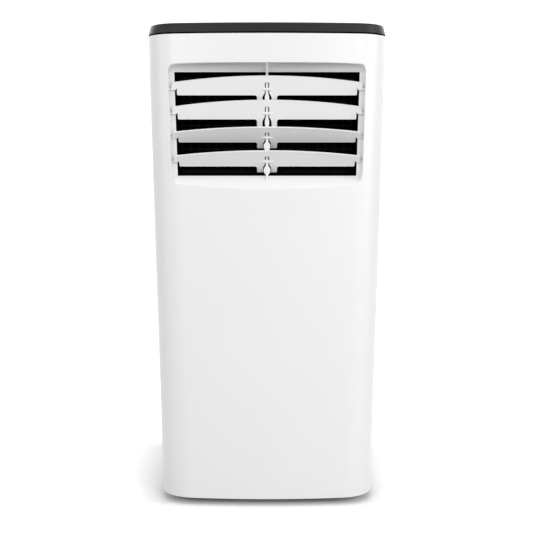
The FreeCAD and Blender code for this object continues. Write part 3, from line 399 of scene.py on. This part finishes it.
MIDDLE = Vector((0, -0.1, 0.4))
SOFT_LIGHTS = {
    "front_right": ((1.5, -2.6, 1.3), MIDDLE, (1.2, 1.2), 32),
    "front_left": ((-1.5, -2.6, 1.3), MIDDLE, (1.2, 1.2), 31),
    "right_side": ((2.9, -0.9, 1.2), MIDDLE, (1.0, 1.6), 36),
    "left_side": ((-2.9, -0.9, 1.2), MIDDLE, (1.0, 1.6), 13),
    "above": ((0.2, -0.3, 3.0), Vector((0, 0, 0)), (1.4, 1.4), 14),
    "rear_left": ((-1.9, 2.4, 1.6), MIDDLE, (1.4, 1.4), 9),
    "rear_right": ((1.9, 2.4, 1.6), MIDDLE, (1.4, 1.4), 6),
}
DAYLIGHT = 0.37


def soft_light(name, place, aim, size, power):
    """A rectangular lamp that faces a point."""
    light = bpy.data.lights.new(name, "AREA")
    light.shape = "RECTANGLE"
    light.size, light.size_y = size
    light.energy = power
    lamp = bpy.data.objects.new(name, light)
    lamp.location = place
    lamp.rotation_euler = (aim - Vector(place)).to_track_quat("-Z", "Y").to_euler()
    SCENE.collection.objects.link(lamp)


def studio():
    """Even white surroundings with soft lamps on every side."""
    world = bpy.data.worlds.new("studio_world")
    SCENE.world = world
    world.use_nodes = True
    backdrop = world.node_tree.nodes["Background"]
    backdrop.inputs["Color"].default_value = (1, 1, 1, 1)
    backdrop.inputs["Strength"].default_value = DAYLIGHT
    SCENE.view_settings.view_transform = "Standard"
    for name, (place, aim, size, power) in SOFT_LIGHTS.items():
        soft_light(name, place, aim, size, power)


LENS = 72.95
SENSOR = 36
EYE = (-0.0007, -1.655, 0.5)
LOOK_DOWN = 5.93


def camera():
    """Straight on, from below the lid's height, and looking slightly down."""
    lens = bpy.data.cameras.new("camera")
    lens.sensor_width = SENSOR
    lens.lens = LENS
    viewer = bpy.data.objects.new("camera", lens)
    viewer.location = EYE
    viewer.rotation_euler = (math.radians(90 - LOOK_DOWN), 0, 0)
    SCENE.collection.objects.link(viewer)
    SCENE.camera = viewer


# --- casing -----------------------------------------------------------------------------------


MOUTH_BAND = (0.44, 0.64)
MOUTH_REACH = 0.14
FACES_FRONT = -0.93
UPRIGHT = 0.05


def is_mouth_rim(edge):
    """True on the rim where the outlet recess meets the bowed front."""
    middle = (edge.verts[0].co + edge.verts[1].co) / 2
    low, high = MOUTH_BAND
    faces_front = [face.normal.y < FACES_FRONT and abs(face.normal.z) < UPRIGHT for face in edge.link_faces]
    in_mouth = low < middle.z < high and abs(middle.x) < MOUTH_REACH
    return in_mouth and any(faces_front) and not all(faces_front)


def smooth_copy(node, edge_size, body="root", slot="white_shell", segments=2):
    """A moulding with every sharp edge eased, standing for its CAD node."""
    work = from_node(node)
    round_edges(work, edge_size * MM, segments=segments)
    return new_piece(f"{node}_moulding", work, FINISH[slot], body, nodes=[node], weighted=True)


def casing():
    """Both shells, the handle cups and the lid, with soft moulded edges."""
    front = from_node("front_shell")
    round_edges(front, 1.5 * MM, is_mouth_rim, steepest=20, segments=4)
    round_edges(front, 0.4 * MM, lambda edge: edge.calc_length() > 1.5 * MM, steepest=60)
    new_piece("front_shell_moulding", front, FINISH["white_shell"], "root",
              nodes=["front_shell"], weighted=True)
    smooth_copy("rear_shell", 0.5)
    smooth_copy("left_handle_cup", 0.8, segments=3)
    smooth_copy("right_handle_cup", 0.8, segments=3)
    smooth_copy("top_lid", 0.3, slot="black_lid")
    smooth_copy("outlet_frame", 0.25)


BLADE = 2.4 * MM
BLADE_RISE = 19.2 * MM
BLADE_DROP = 8.5 * MM
BLADE_BOW = 915 * MM
BLADE_END = 5.5 * MM
TAB_HALF = 14 * MM
TAB_DROP = 19.2 * MM
GUSSET = 3 * MM
CORNER = 2 * MM
PIN = 1.5 * MM
PIN_LENGTH = 11 * MM
SPINDLE = (9.6 * MM, 2.2 * MM, 2.2 * MM)
PIN_PAST_BLADE = 4.9 * MM
BLADE_CUTBACK = 1.4 * MM
STEEPEST_LEAN = 15
RIM = 1.1 * MM
RIM_SLOPE = 0.35 * MM
RIM_HEIGHT = 0.3 * MM
RIM_ROUND = 0.55 * MM
SLOT_FEET = {"louvre_1": 6.3, "louvre_2": 6.3, "louvre_3": 5.6, "louvre_4": 5.6}


def slot_side(foot):
    """The right side of the bottle-shaped slot in mm, from its foot up to its top."""
    return [(foot, -TAB_DROP / MM), (foot, -12), (foot - 0.7, -9), (3.4, -6), (3, -4), (3, 9), (2.5, 9.5)]


def arc_points(across, up, radius, start, turn, count):
    """Points round a centre, from a starting angle on, each a turn further; angles in degrees."""
    angles = [math.radians(start + turn * step) for step in range(count)]
    return [(across + radius * math.cos(angle), up + radius * math.sin(angle)) for angle in angles]


def bow_height(across):
    """The height of a blade's bowed upper edge."""
    return BLADE_RISE - across ** 2 / (2 * BLADE_BOW)


def blade_side(upper_half, lower_half, foot):
    """The right half of a blade's outline, from the slot's foot round to the top of its bow."""
    side = [(across * MM, up * MM) for across, up in slot_side(foot)][::-1]
    side += [(TAB_HALF - 1.2 * MM, -TAB_DROP), (TAB_HALF - 0.35 * MM, -TAB_DROP + 0.35 * MM),
             (TAB_HALF, -TAB_DROP + 1.2 * MM)]
    side += arc_points(TAB_HALF + GUSSET, -BLADE_DROP - GUSSET, GUSSET, 180, -22.5, 5)
    side += arc_points(lower_half - CORNER, -BLADE_DROP + CORNER, CORNER, 270, 22.5, 5)
    side += [(lower_half, PIN / 2), (upper_half, PIN / 2)]
    shoulder = upper_half - BLADE_END
    side += arc_points(shoulder, bow_height(shoulder) - BLADE_END, BLADE_END, 0, 18, 6)
    side += [(shoulder * (1 - step / 14), bow_height(shoulder * (1 - step / 14))) for step in range(1, 14)]
    return side


def louvre(name, foot):
    """A blade with a rounded rim round a slightly lower face, two side pins and a centre spindle."""
    joint = next(joint for joint in frame["joints"] if joint["child"] == name)
    pivot = Vector(joint["pos_m"])
    lean = STEEPEST_LEAN - joint["range_deg"][0]
    pin_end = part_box(name)[1].x
    upper_half = pin_end - PIN_PAST_BLADE
    lower_half = pin_end - PIN_LENGTH - BLADE_CUTBACK
    right = blade_side(upper_half, lower_half, foot)
    outline = right + [(0, BLADE_RISE)] + [(-across, up) for across, up in reversed(right)]
    work = bmesh.new()
    face = work.faces.new([work.verts.new((across, BLADE / 2, up)) for across, up in outline])
    made = bmesh.ops.extrude_face_region(work, geom=[face])["geom"]
    bmesh.ops.translate(work, verts=[item for item in made if isinstance(item, bmesh.types.BMVert)],
                        vec=(0, -BLADE, 0))
    bmesh.ops.recalc_face_normals(work, faces=work.faces)
    front = min(work.faces, key=lambda face: face.calc_center_median().y)
    rim = [edge for edge in work.edges if edge.calc_face_angle(0) > math.radians(60)
           and abs(edge.verts[0].co.y - edge.verts[1].co.y) < BLADE / 2]
    bmesh.ops.inset_region(work, faces=[front], thickness=RIM, use_even_offset=True)
    bmesh.ops.inset_region(work, faces=[front], thickness=RIM_SLOPE, depth=-RIM_HEIGHT, use_even_offset=True)
    bmesh.ops.bevel(work, geom=rim, offset=RIM_ROUND, offset_type="OFFSET", affect="EDGES", segments=3,
                    profile=0.5, material=-1)
    across_turn = Matrix.Rotation(math.radians(90), 4, "Y")
    for side in (-1, 1):
        middle = Matrix.Translation((side * (pin_end - PIN_LENGTH / 2), 0, 0))
        bmesh.ops.create_cone(work, cap_ends=True, segments=20, radius1=PIN, radius2=PIN, depth=PIN_LENGTH,
                              matrix=middle @ across_turn)
    bmesh.ops.create_uvsphere(work, u_segments=20, v_segments=14, radius=1,
                              matrix=Matrix.Diagonal((*SPINDLE, 1)) @ across_turn)
    place = Matrix.Translation(pivot) @ Matrix.Rotation(math.radians(lean), 4, "X")
    bmesh.ops.transform(work, matrix=place, verts=work.verts)
    new_piece(f"{name}_blade", work, FINISH["white_louvre"], name, nodes=[name], crease=50,
              weighted=True)


def louvres():
    for name, foot in SLOT_FEET.items():
        louvre(name, foot)


# --- controls ---------------------------------------------------------------------------------

PRINT_DEPTH = 0.06 * MM


def flat_bar(work, start, end, width):
    """A flat strip from one point to another."""
    start, end = Vector(start), Vector(end)
    turn = Matrix.Rotation(math.atan2(end.y - start.y, end.x - start.x), 4, "Z")
    size = Matrix.Diagonal(((end - start).length, width, 1, 1))
    bmesh.ops.create_grid(work, x_segments=1, y_segments=1, size=0.5,
                          matrix=Matrix.Translation((start + end) / 2) @ turn @ size)


def flat_arc(work, centre, radius, width, start, sweep):
    """A flat strip bent around a centre; angles in degrees."""
    centre = Vector(centre)
    outwards = Vector((math.cos(math.radians(start)), math.sin(math.radians(start)), 0))
    ends = [work.verts.new(centre + outwards * (radius + side * width / 2)) for side in (-1, 1)]
    bmesh.ops.spin(work, geom=[work.edges.new(ends)], cent=centre, axis=UP, angle=math.radians(sweep),
                   steps=max(4, int(abs(sweep) / 12)), use_merge=abs(sweep) == 360, use_duplicate=False)


def printed(name, work, material, body, height=PRINT_DEPTH):
    """Give flat strips the thickness of a print."""
    bmesh.ops.recalc_face_normals(work, faces=work.faces)
    for face in work.faces:
        if face.normal.z < 0:
            face.normal_flip()
    bmesh.ops.solidify(work, geom=work.faces, thickness=height)
    bmesh.ops.recalc_face_normals(work, faces=work.faces)
    return new_piece(name, work, material, body)


def power_mark(work, at):
    flat_arc(work, at, 2.6 * MM, 0.5 * MM, 125, 290)
    flat_bar(work, at + Vector((0, 0.8 * MM, 0)), at + Vector((0, 3.4 * MM, 0)), 0.5 * MM)


def mode_mark(work, at):
    for turn in (0, 60, 120):
        arm = Matrix.Rotation(math.radians(turn + 30), 3, "Z") @ Vector((3.1 * MM, 0, 0))
        flat_bar(work, at - arm, at + arm, 0.45 * MM)


def fan_mark(work, at):
    for turn in (90, 210, 330):
        hub = Matrix.Rotation(math.radians(turn), 3, "Z") @ Vector((1.6 * MM, 0, 0))
        flat_arc(work, at + hub, 1.4 * MM, 0.45 * MM, turn - 180, 230)


def timer_mark(work, at):
    flat_arc(work, at, 2.8 * MM, 0.45 * MM, 0, 360)
    flat_bar(work, at, at + Vector((0, 1.9 * MM, 0)), 0.45 * MM)
    flat_bar(work, at, at + Vector((1.4 * MM, 0, 0)), 0.45 * MM)


def minus_mark(work, at):
    flat_bar(work, at - Vector((2.6 * MM, 0, 0)), at + Vector((2.6 * MM, 0, 0)), 0.6 * MM)


def plus_mark(work, at):
    minus_mark(work, at)
    for side in (-1, 1):
        arm = Vector((0, side * MM, 0))
        flat_bar(work, at + 0.3 * arm, at + 2.6 * arm, 0.6 * MM)


MARKS = {
    "power_button": power_mark,
    "mode_button": mode_mark,
    "fan_speed_button": fan_mark,
    "timer_button": timer_mark,
    "temperature_down_button": minus_mark,
    "temperature_up_button": plus_mark,
}
DISH = 0.35 * MM
KEY_RIM = 0.9 * MM


def buttons():
    """Round keys with a dished top, each with a printed mark that moves with it."""
    for name, mark in MARKS.items():
        low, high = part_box(name)
        key = from_node(name)
        top = [face for face in key.faces
               if face.normal.z > 0.99 and face.calc_center_median().z > high.z - DISH]
        bmesh.ops.inset_region(key, faces=top, thickness=KEY_RIM, depth=-DISH, use_even_offset=True)
        new_piece(f"{name}_key", key, FINISH["button_grey"], name, nodes=[name], crease=50)
        print_work = bmesh.new()
        middle = (low + high) / 2
        mark(print_work, Vector((middle.x, middle.y, high.z - DISH + PRINT_DEPTH)))
        printed(f"{name}_mark", print_work, PRINT, name)


SEGMENTS = {
    "a": ((0, 2), (1, 2)), "b": ((1, 1), (1, 2)), "c": ((1, 0), (1, 1)), "d": ((0, 0), (1, 0)),
    "e": ((0, 0), (0, 1)), "f": ((0, 1), (0, 2)), "g": ((0, 1), (1, 1)),
}


DIGIT = 4.6 * MM
SEGMENT_GAP = 0.45 * MM
CLEAR = 0.01 * MM
LAMP_PITCH = 8 * MM
LAMP_OFFSET = 5 * MM


def display():
    """The panel, the smoked window, two lit digits with a degree ring, and three small lamps."""
    smooth_copy("control_panel", 0.2, slot="gloss_black")
    low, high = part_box("display_window")
    middle = (low + high) / 2
    size = DIGIT
    work = bmesh.new()
    for left, segments in ((-9 * MM, "abged"), (-1.5 * MM, "fgbc")):
        corner = Vector((middle.x + left, middle.y - size, high.z + CLEAR))
        for segment in segments:
            start, end = (corner + Vector((across * size, up * size, 0)) for across, up in SEGMENTS[segment])
            gap = (end - start).normalized() * SEGMENT_GAP
            flat_bar(work, start + gap, end - gap, 0.7 * MM)
    degree = (middle.x + 6.5 * MM, middle.y + size - 0.8 * MM, high.z + CLEAR)
    flat_arc(work, degree, 0.9 * MM, 0.4 * MM, 0, 360)
    printed("display_digits", work, LIT, "root", 0.04 * MM)
    lamps = bmesh.new()
    panel_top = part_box("control_panel")[1].z
    for across in (-1, 0, 1):
        lamp = (across * LAMP_PITCH, high.y + LAMP_OFFSET, panel_top + CLEAR)
        flat_arc(lamps, lamp, 0.45 * MM, 0.7 * MM, 0, 360)
    printed("panel_lamps", lamps, LIT, "root", 0.05 * MM)


# --- rear -------------------------------------------------------------------------------------


def rear_fittings():
    """Grilles, filter frame, collar, spout, cable inlet and screws."""
    smooth_copy("upper_intake_grille", 0.5, body="intake_cover")
    smooth_copy("lower_intake_grille", 0.5)
    smooth_copy("filter_frame", 0.5, body="intake_cover", slot="filter_grey")
    smooth_copy("exhaust_collar", 0.5, slot="filter_grey")
    smooth_copy("drain_spout", 0.5, slot="filter_grey")
    smooth_copy("cable_inlet", 0.4, slot="filter_grey")
    smooth_copy("casing_screws", 0.25, slot="screw_steel")


THREAD = 0.5 * MM
THREAD_PITCH = 4 * MM


def filter_weave():
    """The filter's woven threads, as a fine open net in its frame."""
    low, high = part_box("filter_mesh")
    middle = (low + high) / 2
    work = bmesh.new()
    across, up = high.x - low.x, high.z - low.z
    turn = Matrix.Rotation(math.radians(90), 4, "X")
    bmesh.ops.create_grid(work, x_segments=round(across / THREAD_PITCH), y_segments=round(up / THREAD_PITCH),
                          size=0.5,
                          matrix=Matrix.Translation(middle) @ turn @ Matrix.Diagonal((across, up, 1, 1)))
    bmesh.ops.wireframe(work, faces=work.faces, thickness=THREAD, offset=0, use_replace=True,
                        use_boundary=True, use_even_offset=True, use_crease=False)
    new_piece("filter_weave", work, FINISH["filter_cloth"], "intake_cover",
              nodes=["filter_mesh"])


FIN = 0.25 * MM
FIN_PITCH = 2.6 * MM
FIN_PROUD = 0.6 * MM
CORE_INSET = Vector((2 * MM, 2 * MM, 3 * MM))


def coil_fins(node):
    """Thin upright fins that stand a little proud of a coil's core."""
    low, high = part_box(node)
    core_low = low + CORE_INSET
    core_high = high - CORE_INSET
    core_high.x = -core_low.x
    centre = (core_low + core_high) / 2
    depth = core_high.y - core_low.y + 2 * FIN_PROUD
    size = Matrix.Diagonal((FIN, depth, core_high.z - core_low.z, 1))
    work = bmesh.new()
    for step in range(int((core_high.x - core_low.x) / FIN_PITCH)):
        place = Matrix.Translation((core_low.x + (step + 0.5) * FIN_PITCH, centre.y, centre.z))
        bmesh.ops.create_cube(work, size=1, matrix=place @ size)
    new_piece(f"{node}_fins", work, FIN_EDGE, "root")


paint_cad_nodes()
casing()
louvres()
buttons()
display()
rear_fittings()
filter_weave()
coil_fins("condenser_coil")
coil_fins("evaporator_coil")
floor_and_wall()
studio()
camera()
